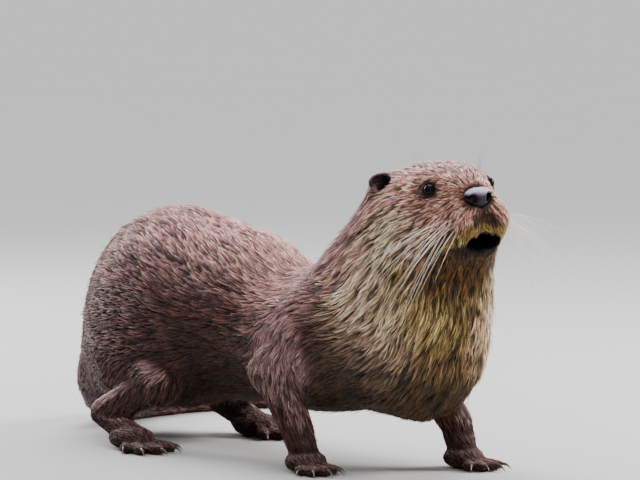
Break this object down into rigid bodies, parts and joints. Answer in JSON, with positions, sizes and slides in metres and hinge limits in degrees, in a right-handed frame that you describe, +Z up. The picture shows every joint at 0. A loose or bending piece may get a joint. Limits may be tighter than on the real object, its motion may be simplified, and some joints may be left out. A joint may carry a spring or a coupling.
{
  "type": "eurasian otter",
  "caption": "Life-size still model of a Eurasian otter, low on all fours with its head raised and turned, mouth slightly open, tail swept round on the floor.",
  "frame": {"origin": "middle of the footprint, on the floor under the paws and tail", "axes": "+X the way the trunk faces, +Y the animal's left, +Z up"},
  "size_m": [0.5884, 0.4358, 0.2672],
  "materials": {
    "fur_body": "dense short brown coat, slightly damp, in fine pointed locks with a lilac sheen on the back",
    "fur_throat": "pale grey-beige coat of cheeks, throat and chest, in clumped streaks with darker gaps",
    "fur_face": "very short flat reddish-brown coat of the face and ears",
    "fur_paw": "very short brown coat on the paws, with dark bare webs",
    "nose_skin": "bare slate-grey nose pad, finely pebbled, moist",
    "eye": "near-black brown eye with a wet clear front",
    "claw": "short brown horn claws, paler at the tips"
  },
  "bodies": {
    "root": {"trunk": "fur_body", "neck": "fur_throat", "head": "fur_face", "jaw": "fur_throat", "tail_base": "fur_body", "tail_end": "fur_body", "ear_left": "fur_face", "ear_right": "fur_face", "eye_left": "eye", "eye_right": "eye", "nose": "nose_skin", "foreleg_left": "fur_body", "forepaw_left": "fur_paw", "hindleg_left": "fur_body", "hindpaw_left": "fur_paw", "foreleg_right": "fur_body", "forepaw_right": "fur_paw", "hindleg_right": "fur_body", "hindpaw_right": "fur_paw", "foreclaw_left_1": "claw", "foreclaw_left_2": "claw", "foreclaw_left_3": "claw", "foreclaw_left_4": "claw", "foreclaw_left_5": "claw", "foreclaw_right_1": "claw", "foreclaw_right_2": "claw", "foreclaw_right_3": "claw", "foreclaw_right_4": "claw", "foreclaw_right_5": "claw", "hindclaw_left_1": "claw", "hindclaw_left_2": "claw", "hindclaw_left_3": "claw", "hindclaw_left_4": "claw", "hindclaw_left_5": "claw", "hindclaw_right_1": "claw", "hindclaw_right_2": "claw", "hindclaw_right_3": "claw", "hindclaw_right_4": "claw", "hindclaw_right_5": "claw"}
  },
  "joints": []
}
